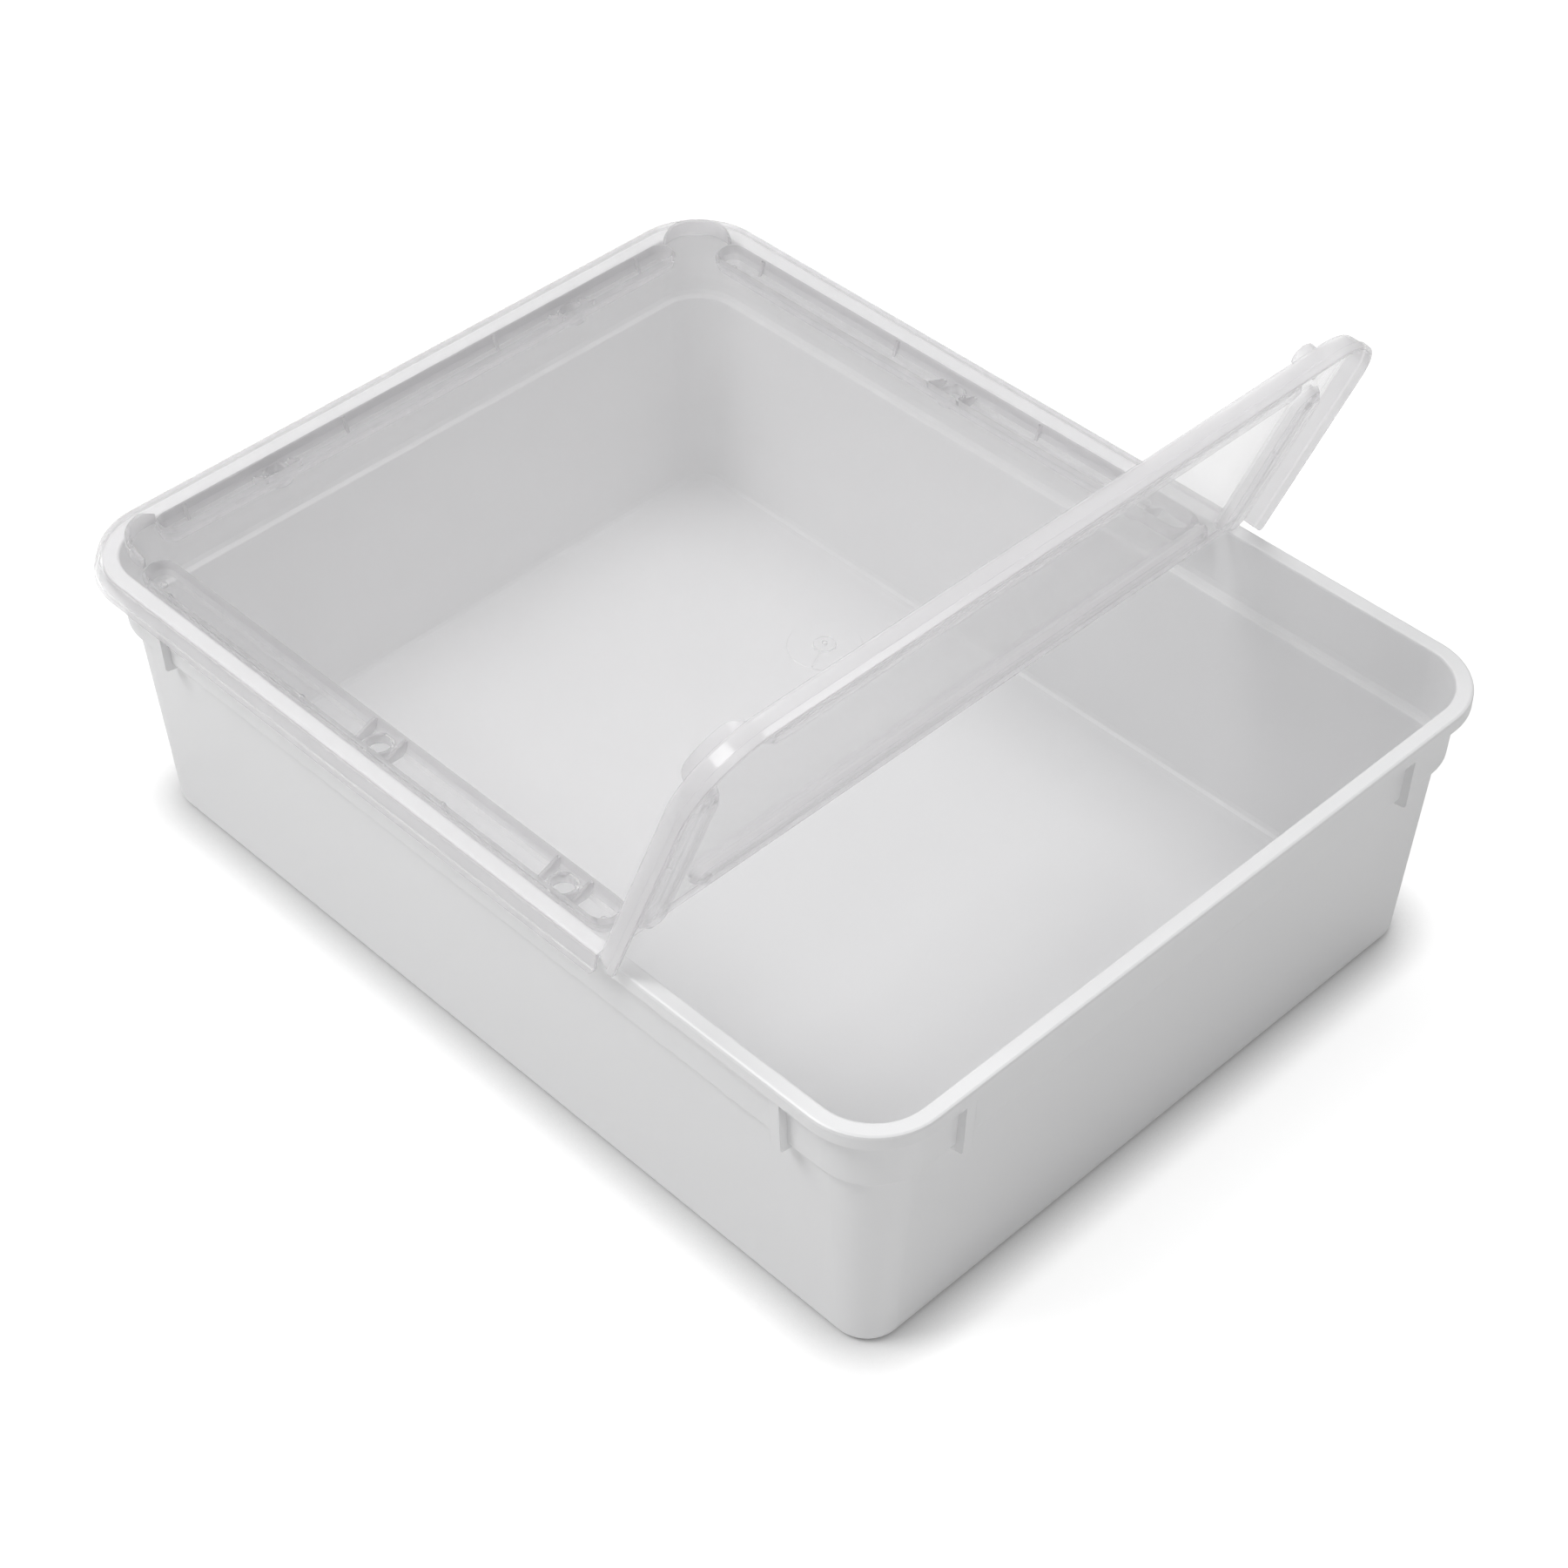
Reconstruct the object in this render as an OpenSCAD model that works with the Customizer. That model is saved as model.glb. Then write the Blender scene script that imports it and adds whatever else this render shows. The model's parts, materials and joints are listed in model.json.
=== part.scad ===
// Plastic pet keeper: a drafted tub and a clear clip-on lid whose right end folds up on a film hinge.
// Millimetres. Origin at the centre of the base; +X to the folding end, +Y to the back, +Z up.
// The flap is drawn closed and then turned by open_angle, the pose in which the part is stored.

/* [Tub] */
// Length over the rim
tub_l = 380; // [300:1:460]
// Width over the rim
tub_w = 292; // [220:1:360]
// Height from the table to the rim's top
tub_h = 111.5; // [80:0.5:160]
// Outer corner radius of the rim
rim_r = 26; // [22:0.5:40]
// Width of the rim's flat top
rim_w = 5.9; // [5:0.1:8]
// Drop of the rim's hanging edge
rim_drop = 5.8; // [4:0.1:9]
// Height of the wide band under the rim, from the rim's top to the step
band_h = 28; // [20:0.5:40]
// How far the foot stands in from the rim
foot_inset = 13.4; // [10:0.1:18]
// Wall and floor thickness
wall_t = 2; // [1.5:0.1:3]
// Distance of the band's fins from the ends of each side
fin_from_end = 42; // [30:0.5:60]
// Fin width
fin_w = 4.2; // [2:0.1:8]
// How far a fin stands out of the band
fin_out = 2.7; // [1:0.1:3.6]

/* [Lid] */
// Thickness of the lid's plate
plate_t = 1.6; // [1.2:0.1:2.5]
// Gap between the rim and the lid that rests over it
lid_gap = 0.3; // [0.2:0.1:0.6]
// Height of the lid's skirt, lip included
skirt_h = 8.5; // [6:0.1:12]
// X of the film hinge
hinge_x = 76.7; // [40:0.1:110]
// Clear width of the film hinge on each side of its axis
hinge_gap = 0.7; // [0.6:0.1:2]
// Thickness of the hinge film
film_t = 0.4; // [0.3:0.1:0.8]
// How far the flap is folded up in the stored pose, in degrees
open_angle = 69; // [0:0.5:170]

/* [Channels] */
// Half width of the long channels at the top
long_hw = 5.6; // [4:0.1:7]
// Half width of the cross channels at the top
cross_hw = 4.9; // [4:0.1:7]
// Depth of the fixed half's channels
channel_d = 6.5; // [4:0.1:8]
// Depth of the flap's channels
flap_channel_d = 4.2; // [3.5:0.1:8]
// Wall of every channel
channel_t = 1.3; // [1:0.1:2]
// Gap from the rim's inner edge to the channels
channel_gap = 1; // [0.8:0.1:2]
// Left end of the fixed half's long channels
fixed_from = -162.6; // [-164:0.1:-120]
// Right end of the fixed half's long channels
fixed_to = 68; // [20:0.5:72]
// Start of the flap's long channels, from the hinge
flap_from = 9; // [6:0.5:20]
// End of the flap's long channels, from the hinge
flap_to = 84; // [60:0.5:96]
// Distance of the flap's hinge-side channel from the hinge
flap_bar = 18; // [12:0.5:30]
// Half width of the flap's hinge-side channel at the top
bar_hw = 4.3; // [4:0.1:7]
// Half length of the fixed half's cross channel
cross_half = 118; // [90:0.5:119]
// Half length of the flap's cross channels
flap_cross_half = 116; // [90:0.5:119]

/* [Vents and ribs] */
// Radius of a vent hole
vent_r = 4.15; // [2:0.05:5]
// Wall of a vent's collar
vent_t = 1; // [0.6:0.1:1.5]
// Height of a vent's collar above the channel floor
vent_h = 2.4; // [1:0.1:4]
// Distance of the front and back vents from the middle
vent_x = 44; // [20:0.5:60]
// Distance of the left vents from the middle
vent_y = 68.5; // [40:0.5:90]
// Distance of the gusset ribs from a vent
gusset_off = 7.5; // [6:0.5:12]
// Thickness of gussets and stiffening teeth
rib_t = 1.1; // [0.8:0.1:2]
// Spacing of the teeth along the channels
tooth_pitch = 70; // [50:1:90]

/* [Stacking walls] */
// Outer radius of a corner wall
stack_r = 14.7; // [12:0.1:16]
// Thickness of a corner wall
stack_t = 1.4; // [1:0.1:2]
// Height of a corner wall
stack_h = 5.8; // [3:0.1:9]
// Half angle of a corner wall
stack_a = 61; // [40:1:70]

/* [Gate disc] */
// Centre of the round gate mark
gate_x = 25; // [0:0.5:50]
// Radius of the gate mark
gate_r = 12.6; // [8:0.1:16]
// Radius of the boss in its middle
gate_boss_r = 4.1; // [2:0.1:6]

/* [Hidden] */
$fn = 96;
eps = 0.01;
half_l = tub_l / 2;
half_w = tub_w / 2;
corner_x = half_l - rim_r;
corner_y = half_w - rim_r;

// levels
step_z = tub_h - band_h;
lid_z = tub_h + lid_gap + plate_t;
hinge_z = lid_z;
shell_d = channel_d + channel_t;

// insets from the rim's outer edge
skin_t = 1.8;
band_top = 4.2;
band_low = 5.3;
body_top = 8.3;
inner_top = rim_w + 0.1;
long_inset = rim_w + channel_gap + channel_t + long_hw;
cross_inset = rim_w + channel_gap + channel_t + cross_hw;

// the teeth of the cross channels
cross_teeth = [for (i = [-2:1]) (i + 0.5) * tooth_pitch];

// The tub's wall as [inset from the rim's edge, height]: one section carries foot, draft, step, band and rim.
tub_section = [
  // outside, foot to step
  [foot_inset + 3.2, 0], [foot_inset + 1.5, 0.4], [foot_inset + 0.3, 1.5], [foot_inset - 0.2, 3.1],
  [body_top, step_z - 2.4], [body_top - 0.3, step_z - 1.2], [body_top - 1, step_z - 0.35],
  // band
  [body_top - 1.9, step_z], [band_low + 0.3, step_z + 0.3], [band_low, step_z + 1.2],
  [band_top, tub_h - skin_t],
  // hanging edge of the rim
  [skin_t, tub_h - skin_t], [skin_t - 0.1, tub_h - rim_drop], [0.3, tub_h - rim_drop],
  [0, tub_h - rim_drop + 0.4], [0, tub_h - 1.1], [0.3, tub_h - 0.35], [1, tub_h],
  // rim top and the inside of the band
  [rim_w - 0.8, tub_h], [rim_w - 0.2, tub_h - 0.25], [inner_top, tub_h - 0.9],
  [band_low + wall_t - 0.2, step_z + 5.6], [band_low + wall_t + 0.2, step_z + 3.4],
  [band_low + wall_t + 1.2, step_z + 2], [body_top + wall_t - 0.2, step_z + 1.3],
  // inside of the body, down to the floor
  [body_top + wall_t, step_z + 0.9], [foot_inset + wall_t - 0.3, 5.4], [foot_inset + wall_t + 0.2, 3.6],
  [foot_inset + wall_t + 1.2, wall_t + 0.5], [foot_inset + wall_t + 2.8, wall_t + 0.2],
  [foot_inset + wall_t + 4.6, wall_t + 0.2], [foot_inset + wall_t + 4.6, 0]
];

// A fin as [inset, height]: it fills the space behind the hanging edge and stands out of the band below it.
// Its back stays inside the wall, so the tub is smooth inside.
fin_section = [
  [band_low + 1.7, step_z + 0.8], [band_low + 0.1, tub_h - skin_t - 0.4],
  [skin_t - 0.3, tub_h - skin_t - 0.4],
  [band_top - fin_out, tub_h - rim_drop], [band_low - fin_out - 0.2, step_z - 0.4],
  [band_low - fin_out + 0.5, step_z - 1.5], [body_top + 0.6, step_z - 2.6]
];

// The lid's edge as [inset, height from the lid's top]: rounded shoulder, flared skirt, stepped lip.
lid_section = [
  [5, 0], [0.3, 0], [-0.5, -0.15], [-1.15, -0.6], [-1.55, -1.3], [-1.75, -2.2],
  [-2.55, 3 - skirt_h], [-3.05, 2.7 - skirt_h], [-3.25, 0.3 - skirt_h], [-3.05, -skirt_h],
  [-2, -skirt_h], [-1.85, 2 - skirt_h], [-1.4, 2.7 - skirt_h], [-0.6, -2.3],
  [-0.35, -plate_t - 0.15], [0.2, -plate_t], [5, -plate_t]
];

// Half section of a channel's hollow and of its shell, as [distance from the centre line, height].
function hollow_half(hw, d) = [
  [0, 1], [hw + 0.1, 1], [hw, 0], [hw - 0.5, -d * 0.55], [hw - 1.3, 0.9 - d], [hw - 2.6, -d], [0, -d]
];
function shell_half(hw, d) = [
  [0, -plate_t / 2], [hw + channel_t, -plate_t / 2], [hw + channel_t - 0.5, -d * 0.55],
  [hw + channel_t - 1.2, 0.6 - d], [hw - 1.9, -d - channel_t], [0, -d - channel_t]
];

// ---------------------------------------------------------------- sweeps round the rim

// A section run along X at the front (side = -1) or the back (side = 1).
module long_run(section, side, from, to) {
  translate([from, 0, 0]) rotate([90, 0, 90]) linear_extrude(to - from)
    polygon([for (p = section) [side * (half_w - p[0]), p[1]]]);
}

// A section run along Y at the left (side = -1) or the right (side = 1).
module cross_run(section, side) {
  translate([0, corner_y, 0]) rotate([90, 0, 0]) linear_extrude(2 * corner_y)
    polygon([for (p = section) [side * (half_l - p[0]), p[1]]]);
}

// A section turned round one corner of the rim.
module corner_run(section, sx, sy) {
  translate([sx * corner_x, sy * corner_y, 0])
    rotate([0, 0, sx > 0 ? (sy > 0 ? 0 : 270) : (sy > 0 ? 90 : 180)])
      rotate_extrude(angle = 90) polygon([for (p = section) [rim_r - p[0], p[1]]]);
}

// ---------------------------------------------------------------- tub

module tub_fins() {
  for (sx = [-1, 1], sy = [-1, 1]) {
    fin_x = half_l - fin_from_end;
    fin_y = half_w - fin_from_end;
    long_run(fin_section, sy, sx * fin_x - fin_w / 2, sx * fin_x + fin_w / 2);
    translate([0, sy * fin_y + fin_w / 2, 0]) rotate([90, 0, 0]) linear_extrude(fin_w)
      polygon([for (p = fin_section) [sx * (half_l - p[0]), p[1]]]);
  }
}

module tub_floor() {
  inset = foot_inset + wall_t + 4;
  linear_extrude(wall_t + 0.2) {
    square([tub_l - 2 * inset, 2 * corner_y], center = true);
    square([2 * corner_x, tub_w - 2 * inset], center = true);
    for (sx = [-1, 1], sy = [-1, 1])
      translate([sx * corner_x, sy * corner_y]) circle(rim_r - inset);
  }
}

module tub() {
  color([0.86, 0.86, 0.87]) {
    for (side = [-1, 1]) {
      long_run(tub_section, side, -corner_x, corner_x);
      cross_run(tub_section, side);
    }
    for (sx = [-1, 1], sy = [-1, 1]) corner_run(tub_section, sx, sy);
    tub_floor();
    tub_fins();
  }
}

// ---------------------------------------------------------------- lid pieces, height 0 at the lid's top

// Edge and plate of a lid half whose rounded end is at +X and whose straight edge is at x = edge.
module lid_blank(edge) {
  inset = 4;
  for (side = [-1, 1]) {
    long_run(lid_section, side, edge, corner_x);
    corner_run(lid_section, 1, side);
  }
  cross_run(lid_section, 1);
  translate([0, 0, -plate_t]) linear_extrude(plate_t) {
    translate([edge, inset - half_w]) square([corner_x - edge, tub_w - 2 * inset]);
    translate([corner_x - 1, -corner_y]) square([rim_r - inset + 1, 2 * corner_y]);
    for (side = [-1, 1]) translate([corner_x, side * corner_y]) circle(rim_r - inset);
  }
}

// Rounds the lower corner of both skirts where the lid is split.
module skirt_corner_cut(edge, r) {
  for (side = [-1, 1])
    translate([edge, side * (half_w + 1), -skirt_h]) difference() {
      translate([-1, -6, -1]) cube([r + 1, 12, r + 1]);
      translate([r, 0, r]) rotate([90, 0, 0]) cylinder(r = r, h = 14, center = true);
    }
}

// A channel along X, round at both ends, from one half section.
module trough(half_section, hw, from, to) {
  reach = (to - from) / 2 - hw;
  last = len(half_section) - 1;
  mirrored = [for (i = [last:-1:0]) [-half_section[i][0], half_section[i][1]]];
  both = concat(half_section, mirrored);
  translate([(from + to) / 2, 0, 0]) {
    translate([-reach, 0, 0]) rotate([90, 0, 90]) linear_extrude(2 * reach) polygon(both);
    for (end = [-1, 1]) translate([end * reach, 0, 0]) rotate_extrude() polygon(half_section);
  }
}

// Web across a channel beside a vent, tall at the lid's inner side (+Y here).
module gusset(hw, d) {
  translate([-rib_t / 2, 0, 0]) rotate([90, 0, 90]) linear_extrude(rib_t) polygon([
    [0.8 - hw, -d - 0.4], [0.6 - hw, 1.6 - d], [hw - 2.2, -1.4], [hw + 0.3, -1],
    [hw - 0.9, -d * 0.8], [hw - 2.4, -d - 0.4]
  ]);
}

// Small tooth on a channel's outer wall (-Y here).
module tooth(hw, d) {
  translate([-rib_t / 2, 0, 0]) rotate([90, 0, 90]) linear_extrude(rib_t) polygon([
    [-hw - 0.2, -0.5], [1 - hw, -0.8], [3 - hw, -d - 0.4], [0.9 - hw, -d * 0.85]
  ]);
}

// Everything that stands in a channel: collars, gussets, teeth and the end beads.
module channel_fittings(hw, d, from, to, vents, teeth) {
  for (x = vents) {
    translate([x, 0, -d - channel_t]) cylinder(r = vent_r + vent_t, h = channel_t + vent_h);
    for (s = [-1, 1]) translate([x + s * gusset_off, 0, 0]) gusset(hw, d);
  }
  for (x = teeth) translate([x, 0, 0]) tooth(hw, d);
  for (x = [from + hw, to - hw]) translate([x, 0, -d]) sphere(1.3);
}

// Places a channel drawn along X so that its -Y side faces the rim at the front, back or right.
module at_long(side) {
  translate([0, side * (half_w - long_inset), 0]) mirror([0, side > 0 ? 1 : 0, 0]) children();
}
module at_cross(x) {
  translate([x, 0, 0]) rotate([0, 0, 90]) children();
}

// Curved stacking wall at one corner, drawn for the +X corner on the given side.
module stack_wall(side) {
  r = 5.2;
  half = stack_r * sin(stack_a);
  translate([corner_x + 2, side * (corner_y + 2), -eps]) rotate([0, 0, side * 45]) intersection() {
    rotate([0, 0, -stack_a]) rotate_extrude(angle = 2 * stack_a)
      translate([stack_r - stack_t, 0]) square([stack_t, stack_h + eps]);
    rotate([90, 0, 90]) linear_extrude(stack_r + 1) {
      translate([-half, 0]) square([2 * half, stack_h - r]);
      translate([r - half, 0]) square([2 * (half - r), stack_h + eps]);
      for (s = [-1, 1]) translate([s * (half - r), stack_h - r]) circle(r);
    }
  }
}

// ---------------------------------------------------------------- lid halves

module lid_fixed_half() {
  cross_x = half_l - cross_inset;
  vents = [-vent_x, vent_x];
  long_teeth = [for (i = [-2:1]) (i + 0.5) * tooth_pitch - 41];
  color([0.93, 0.93, 0.95, 0.35]) translate([0, 0, lid_z]) difference() {
    union() {
      difference() {
        union() {
          mirror([1, 0, 0]) lid_blank(hinge_gap - hinge_x);
          for (side = [-1, 1])
            at_long(side) trough(shell_half(long_hw, channel_d), long_hw, fixed_from, fixed_to);
          at_cross(-cross_x) mirror([0, 1, 0])
            trough(shell_half(cross_hw, channel_d), cross_hw, -cross_half, cross_half);
        }
        for (side = [-1, 1])
          at_long(side) trough(hollow_half(long_hw, channel_d), long_hw, fixed_from, fixed_to);
        at_cross(-cross_x) mirror([0, 1, 0])
          trough(hollow_half(cross_hw, channel_d), cross_hw, -cross_half, cross_half);
        mirror([1, 0, 0]) skirt_corner_cut(hinge_gap - hinge_x, 3);
      }
      for (side = [-1, 1])
        at_long(side) channel_fittings(long_hw, channel_d, fixed_from, fixed_to, vents, long_teeth);
      at_cross(-cross_x) mirror([0, 1, 0])
        channel_fittings(cross_hw, channel_d, -cross_half, cross_half, [-vent_y, vent_y], cross_teeth);
      for (side = [-1, 1]) mirror([1, 0, 0]) stack_wall(side);
      gate_disc();
    }
    for (x = vents, side = [-1, 1])
      at_long(side) translate([x, 0, -shell_d - 1]) cylinder(r = vent_r, h = shell_d + 2);
    for (y = [-vent_y, vent_y])
      translate([-cross_x, y, -shell_d - 1]) cylinder(r = vent_r, h = shell_d + 2);
  }
}

// Round moulding mark: a shallow disc with a domed boss and its pip.
module gate_disc() {
  translate([gate_x, -1, -eps]) {
    cylinder(r1 = gate_r, r2 = gate_r - 0.4, h = 0.4 + eps);
    cylinder(r1 = gate_boss_r, r2 = gate_boss_r - 0.5, h = 0.9);
    cylinder(r = 0.9, h = 1.5);
    rotate([0, 0, -65]) translate([gate_boss_r - 0.5, -0.25, 0]) cube([gate_r - gate_boss_r - 0.4, 0.5, 0.6]);
  }
}

// The flap's four channels, either their hollows or their shells: both sides, free edge, hinge side.
module flap_channels(hollow) {
  d = flap_channel_d;
  side_half = hollow ? hollow_half(long_hw, d) : shell_half(long_hw, d);
  end_half = hollow ? hollow_half(cross_hw, d) : shell_half(cross_hw, d);
  bar_half = hollow ? hollow_half(bar_hw, d) : shell_half(bar_hw, d);
  for (side = [-1, 1])
    at_long(side) trough(side_half, long_hw, hinge_x + flap_from, hinge_x + flap_to);
  at_cross(half_l - cross_inset) trough(end_half, cross_hw, -flap_cross_half, flap_cross_half);
  at_cross(hinge_x + flap_bar) trough(bar_half, bar_hw, -flap_cross_half, flap_cross_half);
}

// The flap as it lies when closed, height 0 at the lid's top.
module flap_closed() {
  edge = hinge_x + hinge_gap;
  d = flap_channel_d;
  from = hinge_x + flap_from;
  to = hinge_x + flap_to;
  mid = (from + to) / 2;
  difference() {
    union() {
      lid_blank(edge);
      flap_channels(false);
    }
    flap_channels(true);
    skirt_corner_cut(edge, 1);
  }
  for (side = [-1, 1]) {
    at_long(side) channel_fittings(long_hw, d, from, to, [], [mid]);
    stack_wall(side);
  }
  at_cross(half_l - cross_inset)
    channel_fittings(cross_hw, d, -flap_cross_half, flap_cross_half, [], cross_teeth);
  at_cross(hinge_x + flap_bar)
    channel_fittings(bar_hw, d, -flap_cross_half, flap_cross_half, [], []);
}

// Turns what is drawn at the lid's top height about the hinge's axis.
module folded(angle) {
  translate([hinge_x, 0, hinge_z]) rotate([0, -angle, 0])
    translate([-hinge_x, 0, 0]) children();
}

module lid_flap() {
  color([0.93, 0.93, 0.95, 0.35]) folded(open_angle) flap_closed();
}

// The film folds about the line on its upper face, so that the flap can lie back nearly flat on the lid.
module hinge_film() {
  w = tub_w - 2;
  root = [for (k = [0:3]) film_t * [sin(open_angle * k / 3), -cos(open_angle * k / 3)]];
  fixed_leaf = [[-hinge_gap, -film_t], [-hinge_gap, 0], [0, 0]];
  flap_leaf = hinge_gap * [cos(open_angle), sin(open_angle)];
  bent_leaf = [flap_leaf, flap_leaf + root[3], root[3], root[2], root[1], root[0]];
  color([0.95, 0.95, 0.97, 0.4]) translate([hinge_x, w / 2, hinge_z]) rotate([90, 0, 0]) {
    linear_extrude(w) polygon(concat(fixed_leaf, bent_leaf));
    cylinder(r = film_t / 2, h = w);
  }
}

tub();
lid_fixed_half();
lid_flap();
hinge_film();
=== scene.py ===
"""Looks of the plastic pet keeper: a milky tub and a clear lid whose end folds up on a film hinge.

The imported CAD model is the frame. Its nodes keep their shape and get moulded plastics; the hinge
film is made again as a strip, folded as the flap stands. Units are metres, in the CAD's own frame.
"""

from __future__ import annotations

import json
import logging
import math
from dataclasses import dataclass, field
from enum import Enum

import bpy
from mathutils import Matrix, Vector

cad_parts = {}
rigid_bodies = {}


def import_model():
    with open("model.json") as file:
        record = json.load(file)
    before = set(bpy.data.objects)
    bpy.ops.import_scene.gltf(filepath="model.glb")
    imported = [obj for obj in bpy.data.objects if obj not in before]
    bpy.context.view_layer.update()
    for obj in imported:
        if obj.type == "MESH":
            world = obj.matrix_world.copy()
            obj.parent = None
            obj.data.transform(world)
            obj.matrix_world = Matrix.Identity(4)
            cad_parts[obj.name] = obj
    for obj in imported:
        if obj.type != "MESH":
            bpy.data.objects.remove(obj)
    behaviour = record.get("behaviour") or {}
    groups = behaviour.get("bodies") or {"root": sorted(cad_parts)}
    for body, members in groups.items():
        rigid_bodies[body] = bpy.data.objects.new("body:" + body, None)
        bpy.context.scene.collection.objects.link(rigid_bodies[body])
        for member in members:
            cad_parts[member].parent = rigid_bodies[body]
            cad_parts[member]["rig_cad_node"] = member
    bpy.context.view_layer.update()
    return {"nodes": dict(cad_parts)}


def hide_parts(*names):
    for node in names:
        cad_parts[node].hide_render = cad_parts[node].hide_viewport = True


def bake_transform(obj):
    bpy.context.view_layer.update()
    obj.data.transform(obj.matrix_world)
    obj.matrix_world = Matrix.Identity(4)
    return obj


logging.basicConfig(level=logging.INFO, format="%(levelname)s %(message)s")
LOG = logging.getLogger("pet_keeper")

Colour = tuple[float, float, float, float]
Point = tuple[float, float, float]

MM = 0.001
FLAP_FOLD = math.radians(69.0)
FACE_ON, EDGE_ON = 0.97, 0.35
BUMP_STRENGTH = 0.5
COAT_ROUGHNESS = 0.12
SCATTER_DEPTH = 1.5 * MM
BEVEL_SAMPLES = 6
# Samples of the ambient occlusion that paints the contact shadow on the floor.
PAINTED_SHADOW_SAMPLES = 8


class Body(Enum):
    """The CAD bodies that pieces ride on."""

    TUB = "tub"
    FIXED_HALF = "fixed_half"
    FLAP = "flap"


class Slot(Enum):
    """The record's material slots."""

    TUB = "tub_plastic"
    LID = "lid_clear"
    FILM = "film_clear"


# ------------------------------------------------------------------------------- node helpers


def socket(node: bpy.types.Node, name: str, value: object) -> None:
    """Sets an input of a node.

    Args:
        node: the node whose input is set.
        name: the input's name.
        value: a number, a colour or a vector.
    """
    node.inputs[name].default_value = value


def socket_at(node: bpy.types.Node, identifier: str, value: object) -> None:
    """Sets the input of a Mix node by its identifier, since its names repeat.

    Args:
        node: the Mix node.
        identifier: the input's identifier, such as "A_Color".
        value: the value that it gets.
    """
    next(s for s in node.inputs if s.identifier == identifier).default_value = value


def output_at(node: bpy.types.Node, identifier: str) -> bpy.types.NodeSocket:
    """Finds the output of a Mix node by its identifier.

    Args:
        node: the Mix node.
        identifier: the output's identifier, such as "Result_Color".

    Returns:
        The output.
    """
    return next(s for s in node.outputs if s.identifier == identifier)


def add(tree: bpy.types.NodeTree, kind: str, **values: object) -> bpy.types.Node:
    """Adds a node and sets its properties.

    Args:
        tree: the tree that gets the node.
        kind: the node's type, such as "ShaderNodeTexNoise".
        **values: properties of the node itself.

    Returns:
        The new node.
    """
    node = tree.nodes.new(kind)
    for name, value in values.items():
        setattr(node, name, value)
    return node


@dataclass(frozen=True)
class MouldedSkin:
    """Shared effect: the faint flow marks and fine grain that a moulded plastic surface has."""

    name: str = "moulded_skin"

    def group(self) -> bpy.types.NodeTree:
        """Builds the group once.

        Returns:
            A group that puts out a colour, a roughness and a height that change over the surface.
        """
        made = bpy.data.node_groups.get(self.name)
        if made:
            return made
        tree = bpy.data.node_groups.new(self.name, "ShaderNodeTree")
        face = tree.interface
        for label, kind, default in (
            ("Colour", "NodeSocketColor", (0.8, 0.8, 0.8, 1.0)),
            ("Shade", "NodeSocketFloat", 0.03),
            ("Roughness", "NodeSocketFloat", 0.35),
            ("Roughness spread", "NodeSocketFloat", 0.06),
            ("Flow scale", "NodeSocketFloat", 9.0),
            ("Grain scale", "NodeSocketFloat", 900.0),
        ):
            face.new_socket(label, in_out="INPUT", socket_type=kind).default_value = default
        face.new_socket("Colour", in_out="OUTPUT", socket_type="NodeSocketColor")
        face.new_socket("Roughness", in_out="OUTPUT", socket_type="NodeSocketFloat")
        face.new_socket("Height", in_out="OUTPUT", socket_type="NodeSocketFloat")
        enter, leave = add(tree, "NodeGroupInput"), add(tree, "NodeGroupOutput")
        where = add(tree, "ShaderNodeTexCoord")
        flow = add(tree, "ShaderNodeTexNoise")
        socket(flow, "Detail", 3.0)
        socket(flow, "Distortion", 0.6)
        grain = add(tree, "ShaderNodeTexNoise")
        socket(grain, "Detail", 2.0)
        link = tree.links.new
        for texture, scale in ((flow, "Flow scale"), (grain, "Grain scale")):
            link(where.outputs["Object"], texture.inputs["Vector"])
            link(enter.outputs[scale], texture.inputs["Scale"])
        dim = add(tree, "ShaderNodeMath", operation="MULTIPLY")
        link(flow.outputs["Fac"], dim.inputs[0])
        link(enter.outputs["Shade"], dim.inputs[1])
        keep = add(tree, "ShaderNodeMath", operation="SUBTRACT")
        keep.inputs[0].default_value = 1.0
        link(dim.outputs[0], keep.inputs[1])
        tint = add(tree, "ShaderNodeMix", data_type="RGBA", blend_type="MULTIPLY")
        tint.inputs["Factor"].default_value = 1.0
        link(enter.outputs["Colour"], tint.inputs["A"])
        link(keep.outputs[0], tint.inputs["B"])
        link(tint.outputs["Result"], leave.inputs["Colour"])
        spread = add(tree, "ShaderNodeMath", operation="MULTIPLY_ADD")
        link(flow.outputs["Fac"], spread.inputs[0])
        link(enter.outputs["Roughness spread"], spread.inputs[1])
        link(enter.outputs["Roughness"], spread.inputs[2])
        link(spread.outputs[0], leave.inputs["Roughness"])
        link(grain.outputs["Fac"], leave.inputs["Height"])
        return tree


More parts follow.
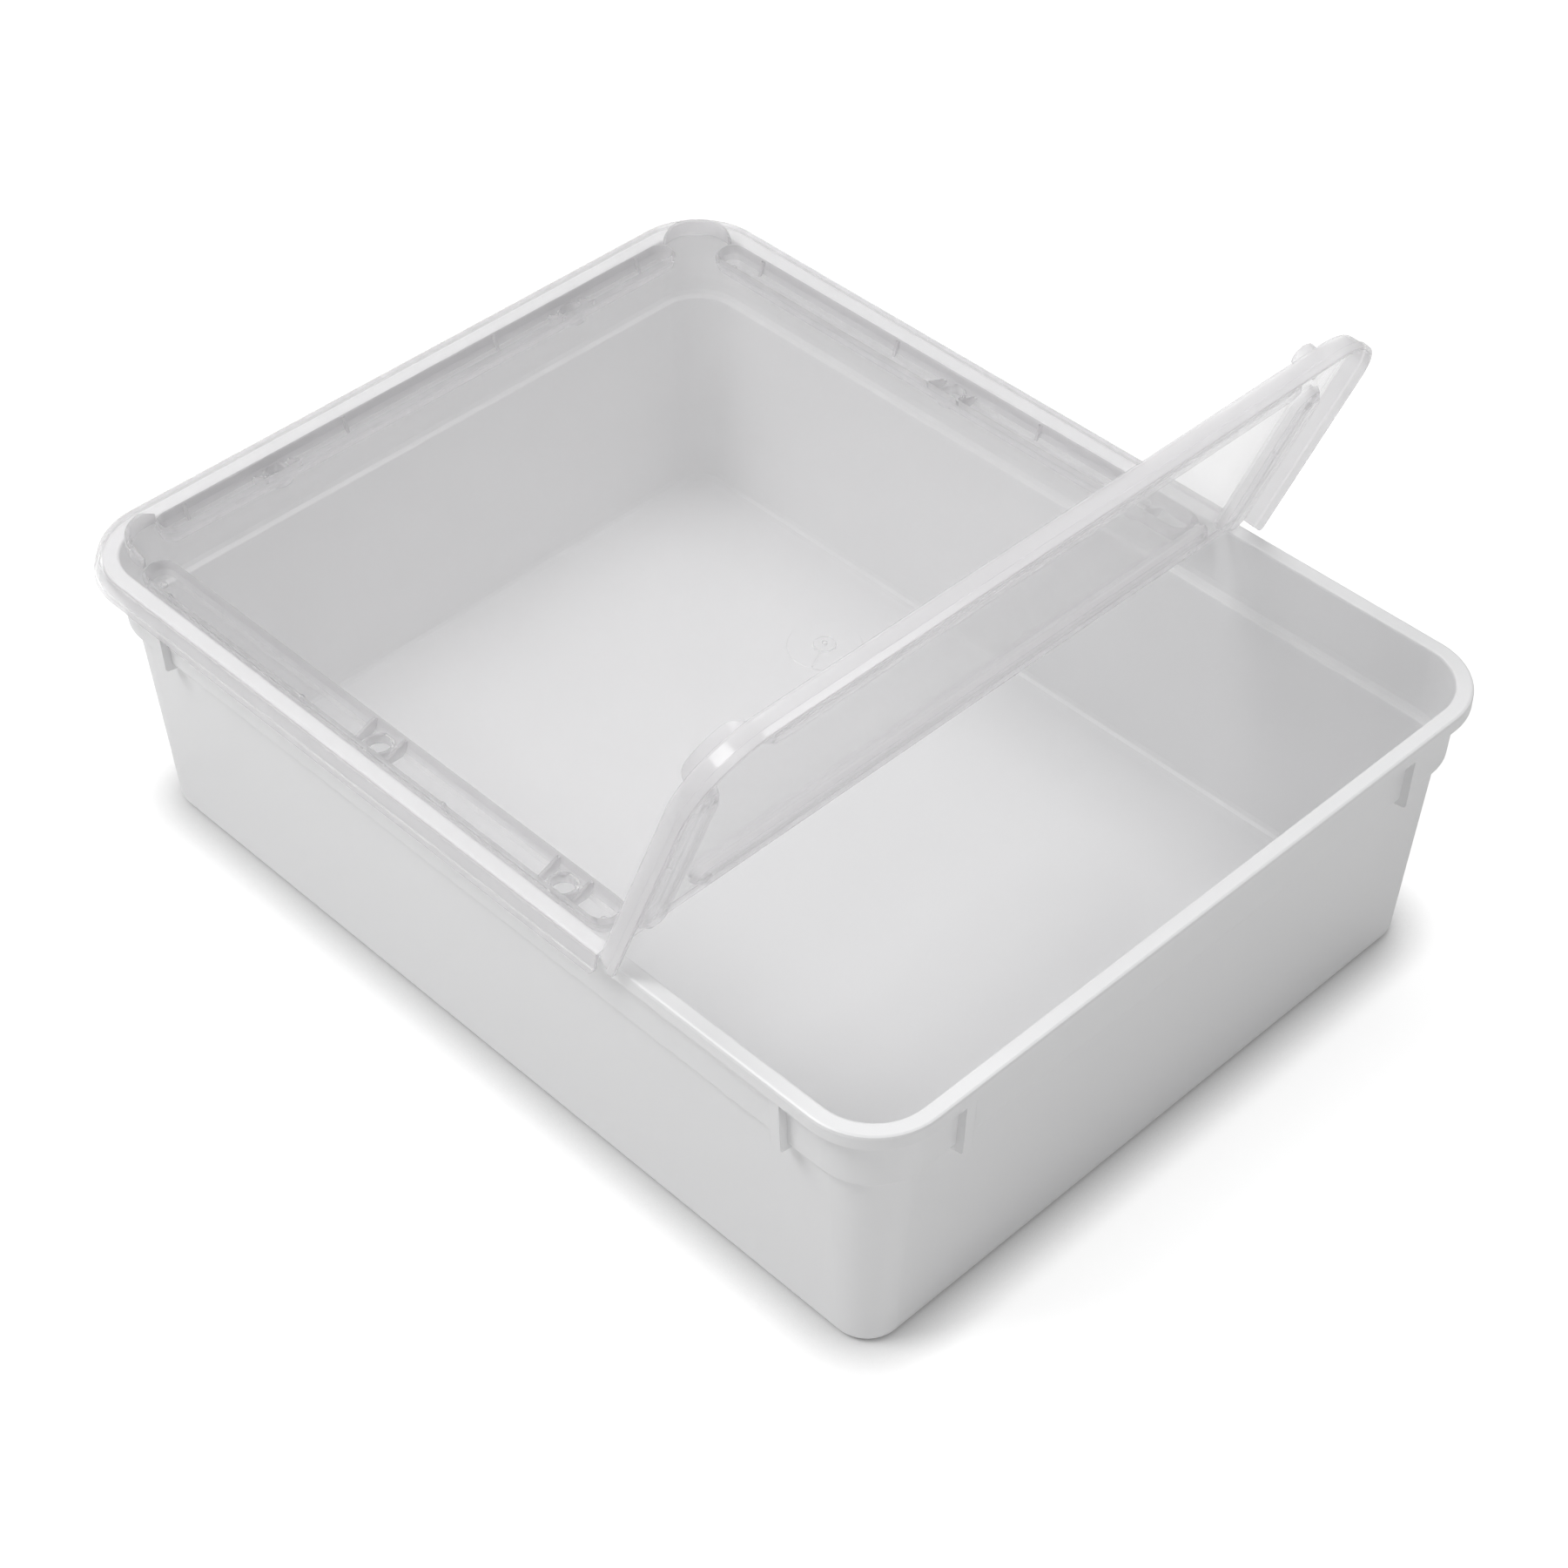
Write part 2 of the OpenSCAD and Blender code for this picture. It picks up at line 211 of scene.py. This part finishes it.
@dataclass(frozen=True)
class MilkyWalls:
    """Shared effect: a thin clear moulding looks clear face-on and milky where its walls stand up."""

    name: str = "milky_walls"

    def group(self) -> bpy.types.NodeTree:
        """Builds the group once.

        Returns:
            A group that puts out how dense a surface looks, from the way it lies in the lid.
        """
        made = bpy.data.node_groups.get(self.name)
        if made:
            return made
        tree = bpy.data.node_groups.new(self.name, "ShaderNodeTree")
        face = tree.interface
        lies = face.new_socket("Lies along", in_out="INPUT", socket_type="NodeSocketVector")
        lies.default_value = (0.0, 0.0, 1.0)
        for label, default in (("Plate", 0.2), ("Wall", 0.6), ("Haze", 0.05), ("Haze scale", 14.0)):
            face.new_socket(label, in_out="INPUT", socket_type="NodeSocketFloat").default_value = default
        face.new_socket("Density", in_out="OUTPUT", socket_type="NodeSocketFloat")
        enter, leave = add(tree, "NodeGroupInput"), add(tree, "NodeGroupOutput")
        where = add(tree, "ShaderNodeTexCoord")
        link = tree.links.new
        turned = add(tree, "ShaderNodeVectorMath", operation="DOT_PRODUCT")
        link(where.outputs["Normal"], turned.inputs[0])
        link(enter.outputs["Lies along"], turned.inputs[1])
        flat = add(tree, "ShaderNodeMath", operation="ABSOLUTE")
        link(turned.outputs["Value"], flat.inputs[0])
        upright = add(tree, "ShaderNodeMapRange", interpolation_type="SMOOTHSTEP")
        link(flat.outputs[0], upright.inputs["Value"])
        socket(upright, "From Min", FACE_ON)
        socket(upright, "From Max", EDGE_ON)
        dense = add(tree, "ShaderNodeMapRange")
        link(upright.outputs["Result"], dense.inputs["Value"])
        link(enter.outputs["Plate"], dense.inputs["To Min"])
        link(enter.outputs["Wall"], dense.inputs["To Max"])
        cloud = add(tree, "ShaderNodeTexNoise")
        socket(cloud, "Detail", 3.0)
        link(where.outputs["Object"], cloud.inputs["Vector"])
        link(enter.outputs["Haze scale"], cloud.inputs["Scale"])
        haze = add(tree, "ShaderNodeMath", operation="MULTIPLY_ADD", use_clamp=True)
        link(cloud.outputs["Fac"], haze.inputs[0])
        link(enter.outputs["Haze"], haze.inputs[1])
        link(dense.outputs["Result"], haze.inputs[2])
        link(haze.outputs[0], leave.inputs["Density"])
        return tree


@dataclass(frozen=True)
class Clearness:
    """How dense a clear plastic looks face-on and in its upright walls, and the way the plate faces."""

    lies_along: Point = (0.0, 0.0, 1.0)
    plate: float = 0.2
    wall: float = 0.62
    haze: float = 0.05


@dataclass(frozen=True)
class Plastic:
    """A moulded plastic.

    Its colour, gloss and grain vary over the surface; what is the same all over is set on the
    shader's own sockets.
    """

    name: str
    colour: Colour
    shade: float
    roughness: float
    roughness_spread: float
    flow_scale: float
    grain_scale: float
    grain_height: float
    transmission: float = 0.0
    ior: float = 1.49
    coat: float = 0.0
    subsurface: float = 0.0
    edge_radius: float = 0.0005
    clearness: Clearness | None = None

    def material(self) -> bpy.types.Material:
        """Builds the material once.

        Returns:
            The material.
        """
        made = bpy.data.materials.get(self.name)
        if made:
            return made
        made = bpy.data.materials.new(self.name)
        made.use_nodes = True
        tree = made.node_tree
        shader = tree.nodes["Principled BSDF"]
        skin = add(tree, "ShaderNodeGroup", node_tree=MouldedSkin().group())
        socket(skin, "Colour", self.colour)
        socket(skin, "Shade", self.shade)
        socket(skin, "Roughness", self.roughness)
        socket(skin, "Roughness spread", self.roughness_spread)
        socket(skin, "Flow scale", self.flow_scale)
        socket(skin, "Grain scale", self.grain_scale)
        tree.links.new(skin.outputs["Colour"], shader.inputs["Base Color"])
        tree.links.new(skin.outputs["Roughness"], shader.inputs["Roughness"])
        bump = add(tree, "ShaderNodeBump")
        socket(bump, "Distance", self.grain_height)
        socket(bump, "Strength", BUMP_STRENGTH)
        tree.links.new(skin.outputs["Height"], bump.inputs["Height"])
        soft_edge = add(tree, "ShaderNodeBevel", samples=BEVEL_SAMPLES)
        socket(soft_edge, "Radius", self.edge_radius)
        tree.links.new(soft_edge.outputs["Normal"], bump.inputs["Normal"])
        tree.links.new(bump.outputs["Normal"], shader.inputs["Normal"])
        socket(shader, "IOR", self.ior)
        socket(shader, "Transmission Weight", self.transmission)
        socket(shader, "Coat Weight", self.coat)
        socket(shader, "Coat Roughness", COAT_ROUGHNESS)
        socket(shader, "Subsurface Weight", self.subsurface)
        socket(shader, "Subsurface Radius", (SCATTER_DEPTH,) * 3)
        if self.clearness:
            walls = add(tree, "ShaderNodeGroup", node_tree=MilkyWalls().group())
            socket(walls, "Lies along", self.clearness.lies_along)
            socket(walls, "Plate", self.clearness.plate)
            socket(walls, "Wall", self.clearness.wall)
            socket(walls, "Haze", self.clearness.haze)
            tree.links.new(walls.outputs["Density"], shader.inputs["Alpha"])
        return made


def dress(piece: bpy.types.Object, finish: Plastic) -> None:
    """Gives a piece one finish all over.

    Args:
        piece: the object that is dressed.
        finish: the plastic that it gets.
    """
    piece.data.materials.clear()
    piece.data.materials.append(finish.material())
    LOG.info("dressed %s in %s", piece.name, finish.name)


MILKY_TUB = Plastic(
    name="milky_tub_plastic",
    colour=(0.83, 0.83, 0.835, 1.0),
    shade=0.03,
    roughness=0.30,
    roughness_spread=0.08,
    flow_scale=7.0,
    grain_scale=1400.0,
    grain_height=0.00002,
    subsurface=0.04,
    edge_radius=0.0003,
)


def clear_plastic(name: str, clearness: Clearness) -> Plastic:
    """The lid's clear plastic.

    Args:
        name: the material's name.
        clearness: how dense it looks, and the way that this part of the lid faces.

    Returns:
        The finish.
    """
    return Plastic(
        name=name,
        colour=(0.84, 0.832, 0.842, 1.0),
        shade=0.02,
        roughness=0.17,
        roughness_spread=0.08,
        flow_scale=12.0,
        grain_scale=900.0,
        grain_height=0.00001,
        transmission=0.45,
        ior=1.2,
        coat=0.4,
        clearness=clearness,
    )


CLEAR_LID = clear_plastic("clear_lid_plastic", Clearness())
CLEAR_FLAP = clear_plastic(
    "clear_flap_plastic",
    Clearness(lies_along=(-math.sin(FLAP_FOLD), 0.0, math.cos(FLAP_FOLD)), plate=0.34, wall=0.7),
)
CLEAR_FILM = clear_plastic("thinned_film_plastic", Clearness(plate=0.35, wall=0.45))


# ------------------------------------------------------------------------------- modelling


def deselect() -> None:
    """Leaves edit mode and deselects everything."""
    if bpy.context.object and bpy.context.object.mode != "OBJECT":
        bpy.ops.object.mode_set(mode="OBJECT")
    bpy.ops.object.select_all(action="DESELECT")


@dataclass
class HingeStrip:
    """The thinned strip that joins the two lid parts, folded as the flap stands."""

    hinge: Point = (0.0767, 0.0, 0.1134)
    fold: float = FLAP_FOLD
    leaf: float = 0.7 * MM
    thickness: float = 0.4 * MM
    length: float = 290.0 * MM
    steps: int = 10

    def build(self) -> bpy.types.Object:
        """Spins the strip's section from the fixed half's edge round to the flap's.

        Blender's spin turns clockwise about its axis, so +Y carries the strip to the flap. The
        other way it hides in the fixed half and leaves the gap open.

        Returns:
            The strip, bending between the two lid bodies.
        """
        deselect()
        x, _, z = self.hinge
        reach = self.leaf + self.thickness / 2 * math.tan(self.fold / 2)
        radius = reach / math.tan(self.fold / 2)
        middle = z - self.thickness / 2
        bpy.ops.mesh.primitive_plane_add(
            size=1.0, location=(x - self.leaf, 0.0, middle), rotation=(0.0, math.pi / 2, 0.0)
        )
        strip = bpy.context.object
        strip.name = "hinge_strip"
        strip.scale = (self.thickness, self.length, 1.0)
        bpy.ops.object.transform_apply(location=True, rotation=True, scale=True)
        bpy.ops.object.mode_set(mode="EDIT")
        bpy.ops.mesh.select_all(action="SELECT")
        bpy.ops.mesh.spin(
            steps=self.steps,
            angle=self.fold,
            center=(x - self.leaf, 0.0, middle + radius),
            axis=(0.0, 1.0, 0.0),
        )
        bpy.ops.mesh.select_all(action="SELECT")
        bpy.ops.mesh.remove_doubles(threshold=0.01 * MM)
        bpy.ops.mesh.select_all(action="DESELECT")
        bpy.ops.mesh.select_non_manifold()
        bpy.ops.mesh.fill_holes(sides=0)
        bpy.ops.mesh.select_all(action="SELECT")
        bpy.ops.mesh.normals_make_consistent(inside=False)
        bpy.ops.object.mode_set(mode="OBJECT")
        bpy.ops.object.shade_smooth_by_angle(angle=math.radians(40))
        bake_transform(strip)
        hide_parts("hinge_film")
        LOG.info("built %s", strip.name)
        return strip


@dataclass
class Tub:
    """The drafted tub."""

    node: str = "tub"

    def dress(self, nodes: dict[str, bpy.types.Object]) -> None:
        """Gives the tub its milky plastic.

        Args:
            nodes: the CAD nodes by name.
        """
        dress(nodes[self.node], MILKY_TUB)


@dataclass
class Lid:
    """The clear lid: fixed half, flap and the strip between them."""

    fixed_half: str = "lid_fixed_half"
    flap: str = "lid_flap"
    strip: HingeStrip = field(default_factory=HingeStrip)

    def dress(self, nodes: dict[str, bpy.types.Object]) -> None:
        """Gives both lid parts clear plastic and joins them with the strip.

        Args:
            nodes: the CAD nodes by name.
        """
        dress(nodes[self.fixed_half], CLEAR_LID)
        dress(nodes[self.flap], CLEAR_FLAP)
        dress(self.strip.build(), CLEAR_FILM)


# ------------------------------------------------------------------------------- studio


@dataclass(frozen=True)
class Lamp:
    """One soft lamp that points at the object."""

    name: str
    place: Point
    width: float
    power: float
    colour: tuple[float, float, float] = (1.0, 1.0, 1.0)


@dataclass
class Studio:
    """White surroundings, a white floor with the cast shadow and a painted contact shadow, lamps and the
    camera.
    """

    target: Point = (0.01892, -0.01358, 0.05551)
    camera_place: Point = (0.6046, -0.5877, 0.8316)
    lens: float = 76.97
    sky: float = 0.33
    floor_bounce: float = 0.86
    floor_paint: float = 0.50
    floor_lift: float = 0.70
    # Reach and strength of the painted contact shadow on the floor.
    contact: float = 0.018
    painted_shadow_depth: float = 1.8
    mirrored_sky: float = 0.8
    fade_from: float = 0.35
    fade_to: float = 1.1
    lamps: tuple[Lamp, ...] = (
        Lamp("key_lamp", (-0.55, -1.00, 1.60), 0.7, 17.5),
        Lamp("top_lamp", (-0.10, 0.60, 1.80), 0.7, 10.5),
        Lamp("low_lamp", (1.50, -0.25, 0.55), 0.5, 2.2),
    )

    def build(self) -> None:
        """Builds the whole studio."""
        self.surroundings()
        self.floor()
        for lamp in self.lamps:
            self.light(lamp)
        self.camera()
        bpy.context.scene.view_settings.view_transform = "Standard"

    def surroundings(self) -> None:
        """A plain white world: white to the camera and in reflections, dimmer as light."""
        world = bpy.data.worlds.new("white_surroundings")
        bpy.context.scene.world = world
        world.use_nodes = True
        tree = world.node_tree
        ground = tree.nodes["Background"]
        socket(ground, "Color", (1.0, 1.0, 1.0, 1.0))
        path = add(tree, "ShaderNodeLightPath")
        seen = add(tree, "ShaderNodeMath", operation="ADD", use_clamp=True)
        tree.links.new(path.outputs["Is Camera Ray"], seen.inputs[0])
        tree.links.new(path.outputs["Is Transmission Ray"], seen.inputs[1])
        mirror = add(tree, "ShaderNodeMath", operation="MULTIPLY_ADD", use_clamp=True)
        tree.links.new(path.outputs["Is Glossy Ray"], mirror.inputs[0])
        mirror.inputs[1].default_value = self.mirrored_sky
        tree.links.new(seen.outputs[0], mirror.inputs[2])
        level = add(tree, "ShaderNodeMapRange")
        tree.links.new(mirror.outputs[0], level.inputs["Value"])
        socket(level, "To Min", self.sky)
        socket(level, "To Max", 1.0)
        tree.links.new(level.outputs["Result"], ground.inputs["Strength"])

    def floor(self) -> None:
        """A wide white floor, lifted to white for the camera where nothing shades it.

        The painted contact shadow, made with ambient occlusion, dims the lift at the object's foot. Far
        away, where the lamps don't reach, the lift grows to full white.
        """
        deselect()
        bpy.ops.mesh.primitive_plane_add(size=14.0, location=(0.0, 0.0, -0.0002))
        floor = bpy.context.object
        floor.name = "floor"
        white = bpy.data.materials.new("white_floor")
        white.use_nodes = True
        tree = white.node_tree
        tree.nodes.clear()
        out = add(tree, "ShaderNodeOutputMaterial")
        paint = add(tree, "ShaderNodeBsdfDiffuse")
        glow = add(tree, "ShaderNodeEmission")
        path = add(tree, "ShaderNodeLightPath")
        seen = add(tree, "ShaderNodeMath", operation="ADD", use_clamp=True)
        tree.links.new(path.outputs["Is Camera Ray"], seen.inputs[0])
        tree.links.new(path.outputs["Is Transmission Ray"], seen.inputs[1])
        shown = add(tree, "ShaderNodeMix", data_type="RGBA")
        tree.links.new(seen.outputs[0], shown.inputs["Factor"])
        socket_at(shown, "A_Color", (self.floor_bounce,) * 3 + (1.0,))
        socket_at(shown, "B_Color", (self.floor_paint,) * 3 + (1.0,))
        tree.links.new(output_at(shown, "Result_Color"), paint.inputs["Color"])
        # Painted contact shadow: ambient occlusion close to the object darkens the floor's glow for the
        # camera.
        painted_shadow = add(tree, "ShaderNodeAmbientOcclusion", samples=PAINTED_SHADOW_SAMPLES)
        socket(painted_shadow, "Distance", self.contact)
        where = add(tree, "ShaderNodeTexCoord")
        away = add(tree, "ShaderNodeVectorMath", operation="LENGTH")
        tree.links.new(where.outputs["Object"], away.inputs[0])
        fade = add(tree, "ShaderNodeMapRange", interpolation_type="SMOOTHSTEP")
        tree.links.new(away.outputs["Value"], fade.inputs["Value"])
        socket(fade, "From Min", self.fade_from)
        socket(fade, "From Max", self.fade_to)
        socket(fade, "To Min", self.floor_lift)
        socket(fade, "To Max", 1.0)
        lift = add(tree, "ShaderNodeMath", operation="MULTIPLY")
        tree.links.new(seen.outputs[0], lift.inputs[0])
        tree.links.new(fade.outputs["Result"], lift.inputs[1])
        # The lift is multiplied by the painted contact shadow, so the floor is darker at the object's
        # foot.
        lift_under_painted_shadow = add(tree, "ShaderNodeMath", operation="MULTIPLY")
        tree.links.new(lift.outputs[0], lift_under_painted_shadow.inputs[0])
        painted_shadow_power = add(tree, "ShaderNodeMath", operation="POWER")
        tree.links.new(painted_shadow.outputs["AO"], painted_shadow_power.inputs[0])
        painted_shadow_power.inputs[1].default_value = self.painted_shadow_depth
        tree.links.new(painted_shadow_power.outputs[0], lift_under_painted_shadow.inputs[1])
        tree.links.new(lift_under_painted_shadow.outputs[0], glow.inputs["Strength"])
        both = add(tree, "ShaderNodeAddShader")
        tree.links.new(paint.outputs[0], both.inputs[0])
        tree.links.new(glow.outputs[0], both.inputs[1])
        tree.links.new(both.outputs[0], out.inputs["Surface"])
        floor.data.materials.append(white)

    def light(self, lamp: Lamp) -> None:
        """Adds one area lamp that looks at the object.

        Args:
            lamp: its name, place, size and power.
        """
        deselect()
        bpy.ops.object.light_add(type="AREA", location=lamp.place)
        made = bpy.context.object
        made.name = lamp.name
        made.data.shape = "SQUARE"
        made.data.size = lamp.width
        made.data.energy = lamp.power
        made.data.color = lamp.colour
        aim = Vector(self.target) - Vector(lamp.place)
        made.rotation_euler = aim.to_track_quat("-Z", "Y").to_euler()

    def camera(self) -> None:
        """Sets the camera that the photograph was fitted with."""
        data = bpy.data.cameras.new("photo_camera")
        data.sensor_width = 36.0
        data.sensor_fit = "AUTO"
        data.lens = self.lens
        data.clip_start = 0.05
        data.clip_end = 50.0
        camera = bpy.data.objects.new("photo_camera", data)
        bpy.context.scene.collection.objects.link(camera)
        camera.location = self.camera_place
        aim = Vector(self.target) - Vector(self.camera_place)
        camera.rotation_euler = aim.to_track_quat("-Z", "Y").to_euler()
        bpy.context.scene.camera = camera


def main() -> None:
    """Loads the frame, dresses it and sets up the studio."""
    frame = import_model()
    nodes = frame["nodes"]
    Tub().dress(nodes)
    Lid().dress(nodes)
    Studio().build()


if __name__ == "__main__":
    main()
